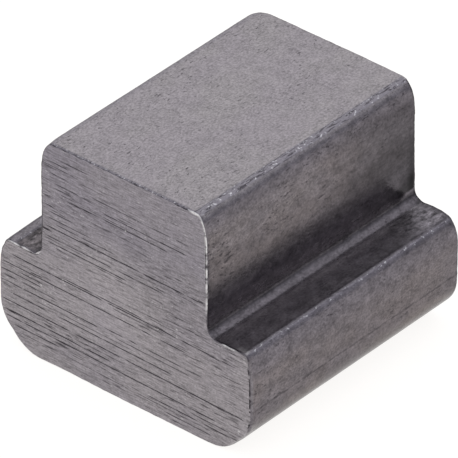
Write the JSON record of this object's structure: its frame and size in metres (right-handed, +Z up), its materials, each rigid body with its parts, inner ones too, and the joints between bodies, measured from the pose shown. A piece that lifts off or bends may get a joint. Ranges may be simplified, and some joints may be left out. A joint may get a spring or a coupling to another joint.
{
  "type": "t-slot nut blank",
  "caption": "Unthreaded T-slot nut blank: a short length of drawn steel T-section bar with rounded long edges and a chamfered foot, sawn square at both ends.",
  "frame": {"origin": "middle of the base, halfway between the sawn ends", "axes": "+X across the T section, +Y along the bar from one sawn end to the other, +Z up from the base through the neck"},
  "size_m": [0.0148, 0.0144, 0.012],
  "materials": {
    "steel": "dull grey drawn steel, with sawn ends crossed by fine saw lines"
  },
  "bodies": {
    "root": {"t_slot_nut": "steel"}
  },
  "joints": []
}
